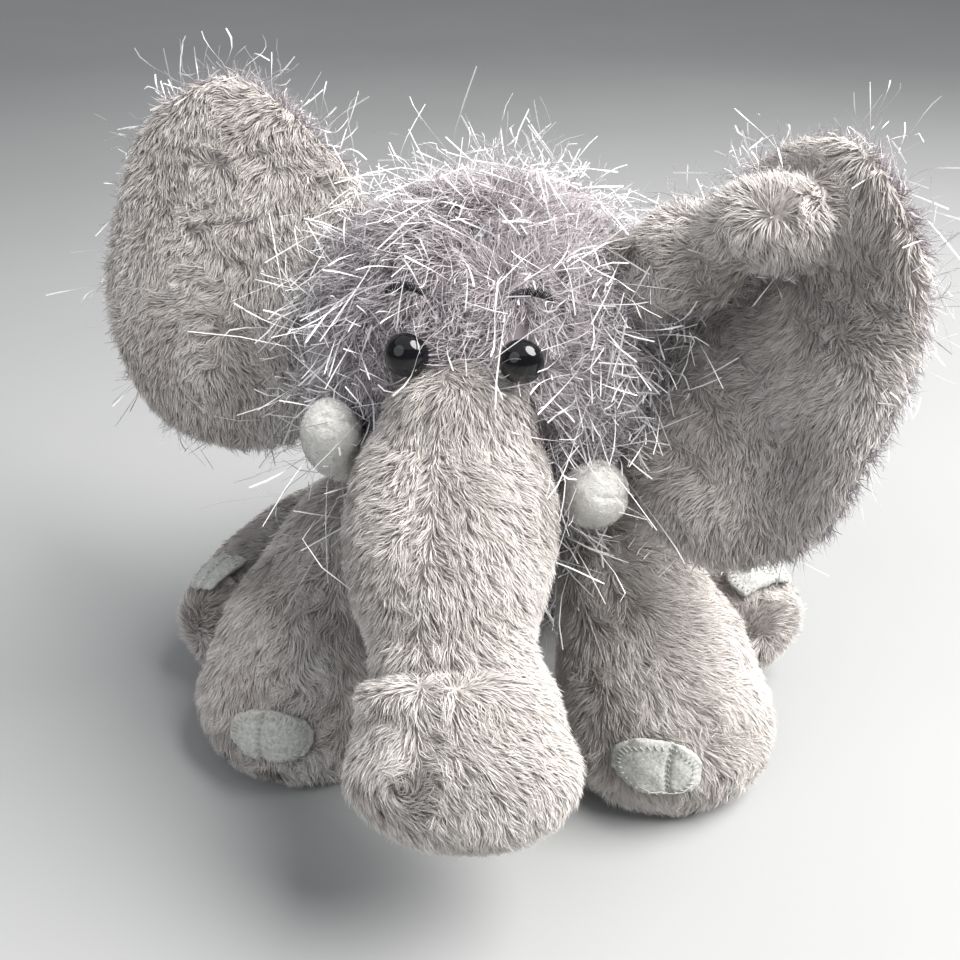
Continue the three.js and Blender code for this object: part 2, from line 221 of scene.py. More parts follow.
STITCH = cloth_material("sewing_thread", (0.36, 0.36, 0.34), (0.52, 0.52, 0.49), 3000, 0.6, 0.2)
POUCH = cloth_material("pouch_weave", (0.5, 0.48, 0.42), (0.7, 0.67, 0.6), 1800)
NYLON = cloth_material("washer_nylon", (0.7, 0.7, 0.7), (0.82, 0.82, 0.82), 600, 0.45, 0.0, 0.00005)
EYE = eye_material()


# ---- meshes -------------------------------------------------------------------------------
def link(name, mesh):
    obj = bpy.data.objects.new(name, mesh)
    bpy.context.scene.collection.objects.link(obj)
    return obj


def evaluated(obj):
    """The mesh with its modifiers applied, as a new plain mesh."""
    graph = bpy.context.evaluated_depsgraph_get()
    graph.update()
    return bpy.data.meshes.new_from_object(obj.evaluated_get(graph))


def coordinates(mesh):
    co = np.empty(len(mesh.vertices) * 3, np.float64)
    mesh.vertices.foreach_get("co", co)
    return co.reshape(-1, 3)


def normals(mesh):
    out = np.empty(len(mesh.vertices) * 3, np.float32)
    mesh.vertex_normals.foreach_get("vector", out)
    return out.reshape(-1, 3).astype(np.float64)


def put(mesh, co):
    mesh.vertices.foreach_set("co", np.asarray(co, np.float32).ravel())
    mesh.update()


def relax(mesh, rounds):
    """Evens a mesh out without shrinking it: each round smooths, then swells back by a little more."""
    ends = np.empty(len(mesh.edges) * 2, np.int32)
    mesh.edges.foreach_get("vertices", ends)
    a, b = ends[0::2], ends[1::2]
    co = coordinates(mesh)
    degree = np.maximum(np.bincount(ends, minlength=len(co)), 1)[:, None]
    for step in (0.55, -0.57) * rounds:
        total = np.zeros_like(co)
        np.add.at(total, a, co[b])
        np.add.at(total, b, co[a])
        co = co + step * (total / degree - co)
    put(mesh, co)


def cad_bmesh(nodes):
    bm = bmesh.new()
    for node in nodes:
        bm.from_mesh(frame["nodes"][node].data)
    return bm


def keep_outer(bm):
    """Deletes every loose part but the one with the most vertices."""
    bm.verts.ensure_lookup_table()
    seen, parts = set(), []
    for vert in bm.verts:
        if vert in seen:
            continue
        part, queue = [], [vert]
        seen.add(vert)
        while queue:
            here = queue.pop()
            part.append(here)
            for edge in here.link_edges:
                other = edge.other_vert(here)
                if other not in seen:
                    seen.add(other)
                    queue.append(other)
        parts.append(part)
    parts.sort(key=len)
    bmesh.ops.delete(bm, geom=[v for part in parts[:-1] for v in part], context="VERTS")


def voxels(mesh, voxel, smoothing):
    """The outermost skin of a mesh, made again with even facets and smoothed."""
    obj = link("voxels", mesh)
    modifier = obj.modifiers.new("voxels", "REMESH")
    modifier.mode = "VOXEL"
    modifier.voxel_size = voxel
    even = evaluated(obj)
    bpy.data.objects.remove(obj)
    bpy.data.meshes.remove(mesh)
    bm = bmesh.new()
    bm.from_mesh(even)
    keep_outer(bm)
    bm.to_mesh(even)
    bm.free()
    even.update()
    relax(even, smoothing)
    return even


def remeshed(name, nodes, voxel, close=0, smoothing=8, lumps=()):
    """One closed skin round these CAD nodes and lumps (centre, radii).

    Gaps under twice `close` are bridged.
    """
    bm = cad_bmesh(nodes)
    for centre, radii in lumps:
        place = Matrix.Translation(Vector(centre)) @ Matrix.Diagonal((*radii, 1))
        bmesh.ops.create_icosphere(bm, subdivisions=3, radius=1, matrix=place)
    mesh = bpy.data.meshes.new(name)
    bm.to_mesh(mesh)
    bm.free()
    even = voxels(mesh, voxel, 1 if close else smoothing)
    if close:
        put(even, coordinates(even) + normals(even) * close)
        even = voxels(even, voxel, smoothing)
        put(even, coordinates(even) - normals(even) * close)
    return link(name, even)


PRESSURE = 4
CLOTH_FRAMES = 20


def stuff(obj, reach):
    """Blows the skin up as cloth, by no more than `reach`, and keeps the result as plain geometry."""
    rest = coordinates(obj.data)
    cloth = obj.modifiers.new("cloth", "CLOTH")
    settings = cloth.settings
    settings.quality = 4
    settings.mass = 0.2
    settings.tension_stiffness = 12
    settings.compression_stiffness = 12
    settings.shear_stiffness = 6
    settings.bending_stiffness = 0.4
    settings.use_pressure = True
    settings.uniform_pressure_force = PRESSURE
    settings.effector_weights.gravity = 0
    cloth.point_cache.frame_start = 1
    cloth.point_cache.frame_end = CLOTH_FRAMES
    scene = bpy.context.scene
    for number in range(1, CLOTH_FRAMES + 1):
        scene.frame_set(number)
    blown = coordinates(evaluated(obj))
    scene.frame_set(1)
    obj.modifiers.remove(cloth)
    move = blown - rest
    move = np.where(np.isfinite(move), move, 0)
    size = np.linalg.norm(move, axis=1, keepdims=True)
    put(obj.data, rest + move * np.minimum(1, reach / np.maximum(size, 1e-9)))


def subdivided(obj, levels=1):
    modifier = obj.modifiers.new("finer", "SUBSURF")
    modifier.levels = modifier.render_levels = levels
    finer = evaluated(obj)
    obj.modifiers.clear()
    old, obj.data = obj.data, finer
    bpy.data.meshes.remove(old)
    return obj


def skin(name, nodes, voxel, inset, swell=1.2 * MM, shaped=None, **how):
    """The cloth of one stuffed part, `inset` inside the CAD solid so that its pile ends at the surface."""
    obj = remeshed(name, nodes, voxel, **how)
    co = coordinates(obj.data)
    put(obj.data, co - normals(obj.data) * inset)
    stuff(obj, swell)
    subdivided(obj)
    if shaped is not None:
        co = coordinates(obj.data)
        put(obj.data, co + normals(obj.data) * np.reshape(shaped(co), (-1, 1)))
    return obj


# ---- strands ------------------------------------------------------------------------------
def scatter(mesh, rng, per_mm2, keep=None):
    """Random points all over a mesh, with normals. keep(points, normals) gives the share to keep at each."""
    mesh.calc_loop_triangles()
    tri = np.empty(len(mesh.loop_triangles) * 3, np.int32)
    mesh.loop_triangles.foreach_get("vertices", tri)
    tri = tri.reshape(-1, 3)
    co, no = coordinates(mesh), normals(mesh)
    a, b, c = co[tri[:, 0]], co[tri[:, 1]], co[tri[:, 2]]
    area = np.linalg.norm(np.cross(b - a, c - a), axis=1) / 2
    count = int(per_mm2 * area.sum() / MM**2)
    pick = np.searchsorted(np.cumsum(area), rng.random(count) * area.sum())
    pick = np.minimum(pick, len(tri) - 1)
    u, v = rng.random((2, count))
    fold = u + v > 1
    u[fold], v[fold] = 1 - u[fold], 1 - v[fold]
    weight = np.stack([1 - u - v, u, v], 1)[:, :, None]
    points = (co[tri[pick]] * weight).sum(1)
    facing = unit((no[tri[pick]] * weight).sum(1))
    if keep is not None:
        kept = rng.random(count) < keep(points, facing)
        points, facing = points[kept], facing[kept]
    return points, facing


def clumped(points, rng, size):
    """For each point, the index of the lock it belongs to; locks are about `size` across."""
    count = max(8, int(len(points) / size))
    centres = rng.choice(len(points), min(count, len(points)), replace=False)
    tree = KDTree(len(centres))
    for i, c in enumerate(centres):
        tree.insert(points[c], i)
    tree.balance()
    return centres[np.array([tree.find(p)[1] for p in points])]


def waves(points, rng, size, count=24):
    """A smooth random vector field over space, features about `size` across."""
    k = rng.normal(size=(count, 3)) / size * 1.6
    phase = rng.random(count) * 2 * math.pi
    aim = rng.normal(size=(count, 3))
    return np.sin(points @ k.T + phase) @ aim / math.sqrt(count / 2)


def blades(points, facing, flow, rng, length, width, lift, segments, lock=None, pull=0.6,
           droop=0.3, curl=0.0, sideways=0.35, flare=0.0):
    """Ribbon strands: vertices, faces, each vertex's place along its strand, and its strand."""
    n = len(points)
    tangent = unit(flow - (flow * facing).sum(1, keepdims=True) * facing)
    side = np.cross(facing, tangent)
    angle = rng.normal(size=(n, 1)) * sideways
    tangent = unit(tangent * np.cos(angle) + side * np.sin(angle))
    side = np.cross(facing, tangent)
    size = length * (0.7 + 0.5 * rng.random((n, 1))) if np.isscalar(length) else np.reshape(length, (-1, 1))
    rise = np.clip(lift + rng.normal(size=(n, 1)) * 0.18, 0.12, 1.5)
    t = np.linspace(0, 1, segments + 1)[None, :, None]
    up = np.sin(rise)[:, None] * (t - droop * t * t)
    along = np.cos(rise)[:, None] * (t + 0.35 * droop * t * t)
    path = points[:, None] + size[:, None] * (facing[:, None] * up + tangent[:, None] * along)
    if curl:
        bend = rng.normal(size=(n, 1, 3)) * curl
        twist = rng.normal(size=(n, 1, 3)) * curl * 0.5
        turns = rng.uniform(1.0, 2.2, (n, 1, 1)) * math.pi
        path = path + size[:, None] * (bend * t**2 * 0.8 + twist * np.sin(t * turns) * t)
    if lock is not None:
        share = pull * t**1.6 * (0.6 + 0.4 * rng.random((n, 1, 1)))
        offset = path - points[:, None]
        gathered = offset[lock] + (points[lock] - points)[:, None] * 0.75
        path = points[:, None] + offset * (1 - share) + share * gathered
    roll = rng.normal(size=(n, 1)) * 0.7
    broad = unit(side * np.cos(roll) + facing * np.sin(roll))[:, None]
    if flare:
        profile = 0.55 + flare * smooth(t, 0.72, 0.9) - 0.3 * smooth(t, 0.93, 1.0)
    else:
        profile = np.clip(1 - t, 0, 1) ** 0.7
    half = width * (0.7 + 0.6 * rng.random((n, 1, 1))) * profile / 2
    left, right = path - broad * half, path + broad * half
    rows = segments + 1
    if flare:
        verts = np.stack([left, right], 2).reshape(-1, 3)
        per = 2 * rows
        base = np.arange(n)[:, None, None] * per
        k = np.arange(segments)[None, :, None] * 2
        quads = (base + k + np.array([0, 1, 3, 2])[None, None, :]).reshape(-1, 4)
        tris = np.empty((0, 3), np.int64)
        v = np.tile(np.repeat(t.ravel(), 2), n)
    else:
        body = np.stack([left[:, :-1], right[:, :-1]], 2).reshape(n, -1, 3)
        verts = np.concatenate([body, path[:, -1:]], 1).reshape(-1, 3)
        per = 2 * segments + 1
        base = np.arange(n)[:, None, None] * per
        k = np.arange(segments - 1)[None, :, None] * 2
        quads = (base + k + np.array([0, 1, 3, 2])[None, None, :]).reshape(-1, 4)
        last = 2 * (segments - 1)
        tris = (np.arange(n)[:, None] * per + np.array([last, last + 1, last + 2])[None, :])
        v = np.tile(np.append(np.repeat(t.ravel()[:-1], 2), 1.0), n)
    return {"co": verts, "quads": quads, "tris": tris, "v": v, "strand": np.repeat(np.arange(n), per)}


FLOOR_CLEAR = 0.3 * MM


def join_strands(obj, layers, materials):
    """Puts the strands and the skin into one mesh. layers: (blades, shade of each strand, material index)."""
    base = obj.data
    base_co = coordinates(base)
    polys = [np.array(p.vertices) for p in base.polygons]
    base_quads = np.array([p for p in polys if len(p) == 4], np.int64).reshape(-1, 4)
    base_tris = np.array([p for p in polys if len(p) == 3], np.int64).reshape(-1, 3)
    co = [base_co]
    quads, tris = [base_quads], [base_tris]
    quad_slot, tri_slot = [np.zeros(len(base_quads), int)], [np.zeros(len(base_tris), int)]
    u, v = [np.full(len(base_co), 0.4)], [np.full(len(base_co), 0.08)]
    start = len(base_co)
    for made, shade, slot_index in layers:
        co.append(made["co"])
        quads.append(made["quads"] + start)
        tris.append(made["tris"] + start)
        quad_slot.append(np.full(len(made["quads"]), slot_index))
        tri_slot.append(np.full(len(made["tris"]), slot_index))
        u.append(shade[made["strand"]])
        v.append(made["v"])
        start += len(made["co"])
    co, quads, tris = np.concatenate(co), np.concatenate(quads), np.concatenate(tris)
    co[:, 2] = np.maximum(co[:, 2], FLOOR_CLEAR)
    u, v = np.concatenate(u), np.concatenate(v)
    loops = np.concatenate([quads.ravel(), tris.ravel()])
    starts = np.concatenate([np.arange(len(quads)) * 4, len(quads) * 4 + np.arange(len(tris)) * 3])
    mesh = bpy.data.meshes.new(obj.name)
    mesh.vertices.add(len(co))
    mesh.vertices.foreach_set("co", co.astype(np.float32).ravel())
    mesh.loops.add(len(loops))
    mesh.loops.foreach_set("vertex_index", loops.astype(np.int32))
    mesh.polygons.add(len(starts))
    mesh.polygons.foreach_set("loop_start", starts.astype(np.int32))
    mesh.polygons.foreach_set("material_index", np.concatenate(quad_slot + tri_slot).astype(np.int32))
    mesh.update(calc_edges=True)
    mesh.polygons.foreach_set("use_smooth", np.ones(len(starts), bool))
    layer = mesh.uv_layers.new(name="OFBake")
    uv = np.stack([np.clip(u, 0.01, 0.99), np.clip(v, 0.01, 0.99)], 1)[loops]
    layer.data.foreach_set("uv", uv.astype(np.float32).ravel())
    for material in materials:
        mesh.materials.append(material)
    old, obj.data = obj.data, mesh
    bpy.data.meshes.remove(old)
    return obj


def shades(points, lock, rng, patch=9 * MM):
    """A shade for each strand: broad patches, locks, and the strand's own."""
    broad = waves(points, rng, patch)[:, 0] * 0.16
    own = rng.random(len(points))
    return np.clip(0.5 + broad + (own[lock] - 0.5) * 0.5 + (own - 0.5) * 0.35, 0, 1)


PILE = {"length": 3.7 * MM, "width": 0.25 * MM, "per_mm2": 7.5, "lift": 0.62, "lock": 9}
DENSITY = 1.0


def pile(obj, rng, flow, keep=None, material=0, **change):
    """Plush pile: short strands gathered into pointed locks."""
    spec = {**PILE, **change}
    points, facing = scatter(obj.data, rng, spec["per_mm2"] * DENSITY, keep)
    lock = clumped(points, rng, spec["lock"])
    direction = flow(points, facing) + waves(points, rng, 12 * MM) * 0.3 + waves(points, rng, 3 * MM) * 0.3
    made = blades(
        points, facing, direction, rng, spec["length"], spec["width"] / DENSITY**0.5,
        spec["lift"], 2, lock, 0.6,
    )
    return made, shades(points, lock, rng), material


def fuzz(obj, rng, flow, keep=None, material=0, length=5.2 * MM, per_mm2=3.2):
    """The short curly ground that the long filaments stand in."""
    points, facing = scatter(obj.data, rng, per_mm2 * DENSITY, keep)
    lock = clumped(points, rng, 10)
    direction = flow(points, facing) + waves(points, rng, 8 * MM) * 0.6 + waves(points, rng, 3 * MM) * 0.5
    made = blades(
        points, facing, direction, rng, length, 0.26 * MM / DENSITY**0.5, 0.8, 4, lock, 0.5,
        droop=0.35, curl=0.22, sideways=0.7,
    )
    return made, shades(points, lock, rng), material


def filaments(obj, rng, flow, per_mm2, length, keep=None, material=1, lift=0.6, droop=0.55, reach=None):
    """Long flat silvery filaments in loose tufts, each curling and ending in a brighter flattened tip."""
    roots, normal = scatter(obj.data, rng, per_mm2, keep)
    many = rng.integers(2, 6, len(roots))
    index = np.repeat(np.arange(len(roots)), many)
    points = roots[index] + rng.normal(size=(len(index), 3)) * 0.6 * MM
    facing = normal[index]
    tuft = rng.normal(size=(len(roots), 3)) * 0.7
    direction = flow(points, facing) + tuft[index] + rng.normal(size=(len(index), 3)) * 0.3
    size = length * (0.4 + 0.65 * rng.random(len(index)))
    if reach is not None:
        size = size * reach(points)
    made = blades(
        points, facing, direction, rng, size, 0.19 * MM, lift, 10, None, 0,
        droop=droop, curl=0.48, sideways=0.3, flare=1.15,
    )
    return made, rng.random(len(index)), material


# ---- the stuffed parts --------------------------------------------------------------------
DOWN = np.array([0.0, 0.0, -1.0])
PILE_DEPTH = 1.5 * MM
FRINGE_DEPTH = 2.2 * MM


def rng_for(name):
    return np.random.default_rng(sum(ord(c) * (i + 7) for i, c in enumerate(name)))


def finish_piece(obj, replaced):
    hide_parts(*replaced)
    return obj


def leg(kind, side):
    """A leg in plush, with its sole; its pile is a little longer than the trunk's."""
    name = f"{kind}_{side}"
    rng = rng_for(name)
    nodes = [f"{kind}_{part}_{side}" for part in ("cover", "filling", "sole")]
    obj = skin(f"{name}_plush", nodes, 2.4 * MM, PILE_DEPTH)
    sole_at, _ = box_centre(f"{kind}_sole_{side}")
    nail_at, nail_size = box_centre(f"{kind}_toenails_{side}")
    top = np.array(JOINTS[f"{kind}_{side}_{'swing' if kind == 'foreleg' else 'lift'}"]["pos_m"], float)
    down_the_leg = unit(sole_at - top)

    def flow(points, facing):
        out = np.tile(down_the_leg, (len(points), 1))
        if kind == "foreleg":
            splay = unit(points - np.array([sole_at[0], sole_at[1], 0]))
            out = out + splay * 0.5 * (points[:, 2:3] < 22 * MM)
        else:
            rim = unit(points - sole_at)
            swirl = np.cross(rim, down_the_leg)
            near = smooth(-np.linalg.norm(points - sole_at, axis=1), -17 * MM, -9 * MM)[:, None]
            out = out * (1 - near) + (rim + swirl * 0.8) * near
        return out

    def keep(points, facing):
        under = (points[:, 2] < 3 * MM) & (facing[:, 2] < -0.6)
        nail = np.abs((points - nail_at) / (nail_size * 0.9)).max(1) < 0.8
        return np.where(under, 0.05, np.where(nail, 0.25, 1.0))

    longer = 1.25 if kind == "foreleg" else 1.1
    layers = [pile(obj, rng, flow, keep, length=PILE["length"] * longer)]
    join_strands(obj, layers, [PLUSH])
    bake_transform(obj)
    return finish_piece(obj, nodes)


CREASE_ALONG = unit(np.array([0.06, -0.72, -0.69]))
TRUNK_NODES = ["trunk_cover", "trunk_filling", "trunk_tip_cover", "trunk_tip_filling"]


def trunk():
    """The trunk and its turned-up tip are one sleeve of plush, folded at the crease."""
    rng = rng_for("trunk")
    curl = np.array(JOINTS["trunk_curl"]["pos_m"], float)
    lift = np.array(JOINTS["trunk_lift"]["pos_m"], float)
    centre, _ = box_centre("trunk_cover")
    tip, tip_size = box_centre("trunk_tip_cover")
    bridge = (lift + [-1.5 * MM, 0, 0], (16 * MM, 14.5 * MM, 15 * MM))

    def shaped(co):
        gap = (co - curl) @ CREASE_ALONG
        in_front = smooth((co - curl) @ unit([0, -0.69, 0.72]), -4 * MM, 8 * MM)
        fade = 1 - 0.8 * smooth(co[:, 0], centre[0] + 3 * MM, centre[0] + 15 * MM)
        wander = waves(co, rng, 14 * MM)[:, 0] * 0.8 * MM
        fold = np.exp(-(((gap + wander) / (2.0 * MM)) ** 2))
        lip = np.exp(-(((gap + wander - 5 * MM) / (2.6 * MM)) ** 2))
        seam = np.exp(-(((co[:, 0] - centre[0] + 4.2 * MM) / (0.9 * MM)) ** 2)) * smooth(-gap, 0, 8 * MM)
        return in_front * (fade * (lip * 1.0 - fold * 2.4) * MM - seam * 1.1 * MM)

    obj = skin("trunk_plush", TRUNK_NODES, 2.2 * MM, PILE_DEPTH, close=2 * MM, lumps=[bridge], shaped=shaped)
    seam_x = centre[0] - 4.2 * MM
    eddy = tip + np.array([-tip_size[0] * 0.45, -tip_size[1] * 0.8, tip_size[2] * 0.05])

    def flow(points, facing):
        out = np.tile(DOWN + [0, -0.1, 0], (len(points), 1))
        out[:, 0] += np.clip((points[:, 0] - seam_x) / (6 * MM), -1, 1) * 0.45
        away = points - eddy
        swirl = np.cross(np.tile([0.2, -1.0, 0.3], (len(points), 1)), away)
        near = np.exp(-((np.linalg.norm(away, axis=1) / (10 * MM)) ** 2))[:, None]
        past = smooth((points - curl) @ CREASE_ALONG, 0, 12 * MM)[:, None]
        out = out * (1 - near) + unit(swirl) * near * 1.5
        return out + past * np.array([0.3, 0.1, 0.15])

    join_strands(obj, [pile(obj, rng, flow)], [PLUSH])
    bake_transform(obj)
    return finish_piece(obj, TRUNK_NODES)


# Rolls of plush along the top of the left ear, from the head outward, as (centre in metres, radii).
EAR_LUMPS = {
    "left": [
        ((0.036, -0.013, 0.113), (12 * MM, 8 * MM, 11 * MM)),
        ((0.048, -0.019, 0.122), (13 * MM, 7 * MM, 11 * MM)),
        ((0.061, -0.026, 0.131), (13 * MM, 7 * MM, 9 * MM)),
    ],
    "right": [],
}


def ear(side):
    """Plush inside, fringe outside; the fringe stands past the top and outer edges."""
    sign = 1 if side == "left" else -1
    name = f"ear_{side}"
    rng = rng_for(name)
    nodes = [f"ear_front_{side}", f"ear_back_{side}"]
    obj = skin(f"{name}_plush", nodes, 2.0 * MM, 1.0 * MM, swell=0.8 * MM, lumps=EAR_LUMPS[side])
    co = coordinates(obj.data)
    centre = co.mean(0)
    _, _, axes = np.linalg.svd(co - centre, full_matrices=False)
    across = axes[2] * (1 if axes[2][1] < 0 else -1)

    high = centre[2] + 10 * MM

    def front(facing):
        return smooth(facing @ across, -0.15, 0.15)

    def flow(points, facing):
        outward = unit(points - centre)
        out = DOWN * 0.8 + outward * 0.25
        out[:, 0] += sign * 0.15
        return out

    def fringe_flow(points, facing):
        outward = unit(points - centre)
        return outward * 0.9 + DOWN * 0.5

    def fringe_place(points, facing):
        behind = 1 - smooth(facing @ across, -0.5, -0.05)
        return behind * (0.2 + 0.8 * smooth(points[:, 2], high, high + 18 * MM))

    layers = [
        pile(obj, rng, flow, lambda p, f: front(f), length=3.4 * MM, lift=0.6),
        fuzz(obj, rng, fringe_flow, lambda p, f: 1 - front(f), material=1),
        filaments(
            obj, rng, fringe_flow, 0.2, 9 * MM,
            fringe_place, material=2, lift=0.5,
        ),
    ]
    join_strands(obj, layers, [PLUSH, FUZZ, FILAMENT])
    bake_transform(obj)
    return finish_piece(obj, nodes)


def head():
    rng = rng_for("head")
    nodes = ["head_cover", "head_filling"]
    obj = skin("head_fringe", nodes, 2.8 * MM, FRINGE_DEPTH)
    centre, _ = box_centre("head_cover")
    eyes = [box_centre(f"eye_{s}")[0] for s in ("left", "right")]
    trunk_at, _ = box_centre("trunk_cover")
    brows = [box_centre(f"brow_{s}")[0] for s in ("left", "right")]

    def flow(points, facing):
        outward = unit(points - centre)
        out = outward * np.array([0.9, 0.3, 0.5]) + DOWN * 0.75
        return out

    def clear_of_face(points, facing):
        share = np.ones(len(points))
        for eye in eyes:
            share *= smooth(np.linalg.norm((points - eye) * [1, 0.6, 1], axis=1), 4.2 * MM, 5.6 * MM)
        for brow in brows:
            share *= smooth(np.linalg.norm((points - brow) * [0.6, 0.6, 1.8], axis=1), 2.4 * MM, 3.6 * MM)
        return share

    def fringe_place(points, facing):
        share = clear_of_face(points, facing)
        for eye in eyes:
            share *= smooth(np.linalg.norm((points - eye) * [1, 0.5, 1], axis=1), 5 * MM, 12 * MM)
        muzzle = np.exp(-(((points[:, 0] - trunk_at[0]) / (15 * MM)) ** 2))
        muzzle *= smooth(-points[:, 1], 20 * MM, 34 * MM)
        return share * (1 - 0.8 * muzzle)

    def cheeks(points):
        """Longer strands round the cheeks and under the chin."""
        return 0.8 + 0.75 * smooth(-points[:, 2], -(centre[2] + 2 * MM), -(centre[2] - 22 * MM))

    layers = [
        fuzz(obj, rng, flow, clear_of_face, length=6.2 * MM),
        filaments(obj, rng, flow, 0.13, 19 * MM, fringe_place, reach=cheeks),
    ]
    join_strands(obj, layers, [FUZZ, FILAMENT])
    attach(obj, "head")
    return finish_piece(obj, nodes)


def body():
    rng = rng_for("body")
    nodes = ["body_cover", "body_filling"]
    obj = skin("body_fringe", nodes, 3.2 * MM, FRINGE_DEPTH)
    centre, _ = box_centre("body_cover")

    def flow(points, facing):
        outward = unit((points - centre) * [1, 1, 0.4])
        return outward * 0.3 + DOWN * 0.9 + np.array([0, 0.35, 0])

    def not_under(points, facing):
        return np.where((points[:, 2] < 5 * MM) & (facing[:, 2] < -0.5), 0.1, 1.0)

    layers = [
        fuzz(obj, rng, flow, not_under, per_mm2=2.4),
        filaments(obj, rng, flow, 0.10, 16 * MM, lambda p, f: not_under(p, f) * (p[:, 2] > 12 * MM)),
    ]
    join_strands(obj, layers, [FUZZ, FILAMENT])
    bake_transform(obj)
    return finish_piece(obj, nodes)


def tail():
    rng = rng_for("tail")
    nodes = ["tail_cover", "tail_tuft"]
    obj = skin("tail_fringe", nodes, 1.2 * MM, 0.9 * MM)

    def flow(points, facing):
        return np.tile(DOWN + [0, 0.25, 0], (len(points), 1))

    tuft_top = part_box("tail_tuft")[1][2]
    layers = [
        fuzz(obj, rng, flow, per_mm2=4, length=3 * MM),
        filaments(obj, rng, flow, 0.5, 7 * MM, lambda p, f: 1.0 * (p[:, 2] < tuft_top)),
    ]
    join_strands(obj, layers, [FUZZ, FILAMENT])
    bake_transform(obj)
    return finish_piece(obj, nodes)


# ---- the small hard and flat pieces -------------------------------------------------------
def smooth_shade(mesh):
    mesh.polygons.foreach_set("use_smooth", np.ones(len(mesh.polygons), bool))
    mesh.update()


def lathe(profile, sides=40):
    """A closed turned solid about +Z from (radius, height) points that start and end on the axis."""
    bm = bmesh.new()
    rings = []
    for radius, height in profile:
        if radius < 1e-7:
            rings.append([bm.verts.new((0, 0, height))])
        else:
            rings.append([
                bm.verts.new((radius * math.cos(a), radius * math.sin(a), height))
                for a in np.linspace(0, 2 * math.pi, sides, endpoint=False)
            ])
    for low, high in zip(rings, rings[1:]):
        for i in range(sides):
            j = (i + 1) % sides
            corners = [low[i % len(low)], low[j % len(low)], high[j % len(high)], high[i % len(high)]]
            bm.faces.new(dict.fromkeys(corners))
    bmesh.ops.recalc_face_normals(bm, faces=bm.faces)
    return bm


def eye(side):
    """A glossy domed button eye on its stem."""
    low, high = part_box(f"eye_{side}")
    radius = (high.x - low.x) / 2 * 0.98
    dome = 3.9 * MM
    profile = [(0, -(high.y - low.y) + dome + 0.3 * MM), (1.3 * MM, -(high.y - low.y) + dome + 0.3 * MM),
               (1.5 * MM, -1.2 * MM), (1.6 * MM, -0.9 * MM), (radius * 0.9, -0.8 * MM), (radius, -0.35 * MM)]
    for a in np.linspace(0, math.pi / 2, 12):
        profile.append((radius * math.cos(a), dome * math.sin(a)))
    profile[-1] = (0, dome)
    bm = lathe(profile)
    mesh = bpy.data.meshes.new(f"eye_{side}_dome")
    bm.to_mesh(mesh)
    bm.free()
    mesh.transform(Matrix.Translation((Vector((low.x + high.x, 0, low.z + high.z)) / 2)
                   + Vector((0, low.y + dome, 0))) @ Matrix.Rotation(math.radians(90), 4, "X"))
    smooth_shade(mesh)
    mesh.materials.append(EYE)
    obj = link(f"eye_{side}_dome", mesh)
    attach(obj, "head")
    return finish_piece(obj, [f"eye_{side}"])


def tube(bm, path, radius, sides=6):
    """A closed tube along a path of points; radius may vary along it."""
    path = np.asarray(path, float)
    radii = np.broadcast_to(np.asarray(radius, float), (len(path),))
    tangent = unit(np.gradient(path, axis=0))
    across = np.cross(tangent, [0.13, 0.37, 0.91])
    across = unit(across)
    other = np.cross(tangent, across)
    rings = []
    for p, u, v, r in zip(path, across, other, radii):
        rings.append([
            bm.verts.new(p + (u * math.cos(a) + v * math.sin(a)) * r)
            for a in np.linspace(0, 2 * math.pi, sides, endpoint=False)
        ])
    for low, high in zip(rings, rings[1:]):
        for i in range(sides):
            j = (i + 1) % sides
            bm.faces.new((low[i], low[j], high[j], high[i]))
    bm.faces.new(rings[0][::-1])
    bm.faces.new(rings[-1])


def brow(side):
    """Satin stitch: short threads laid side by side along the brow's arc."""
    rng = rng_for(f"brow_{side}")
    node = frame["nodes"][f"brow_{side}"]
    co = coordinates(node.data)
    order = np.argsort(co[:, 0])
    co = co[order]
    span = co[-1, 0] - co[0, 0]
    arc = []
    for share in np.linspace(0.03, 0.97, 9):
        x = co[0, 0] + span * share
        near = co[np.abs(co[:, 0] - x) < span * 0.2]
        arc.append(near.mean(0))
    arc = np.array(arc)
    fit = [np.polyfit(arc[:, 0], arc[:, k], 2) for k in (1, 2)]
    bm = bmesh.new()
    count = 30
    for i, x in enumerate(np.linspace(arc[0, 0] - 0.5 * MM, arc[-1, 0] + 0.5 * MM, count)):
        y, z = np.polyval(fit[0], x), np.polyval(fit[1], x)
        slope = 2 * fit[1][0] * x + fit[1][1]
        along = unit(np.array([1, 0, slope]))
        up = unit(np.array([-slope, 0, 1.0]))
        tall = (0.85 * MM) * math.sin(math.pi * (0.12 + 0.76 * i / (count - 1))) ** 0.5
        t = np.linspace(-1, 1, 7)[:, None]
        lean = along * 0.22 * MM
        bulge = np.array([0, 1.0, 0]) * (0.55 * MM) * (1 - t**2)
        path = np.array([x, y, z]) + up * t * tall + lean * t - bulge
        path = path + rng.normal(size=3) * 0.03 * MM
        tube(bm, path, 0.13 * MM)
    mesh = bpy.data.meshes.new(f"brow_{side}_stitches")
    bm.to_mesh(mesh)
    bm.free()
    smooth_shade(mesh)
    mesh.materials.append(THREAD)
    obj = link(f"brow_{side}_stitches", mesh)
    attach(obj, "head")
    return finish_piece(obj, [f"brow_{side}"])


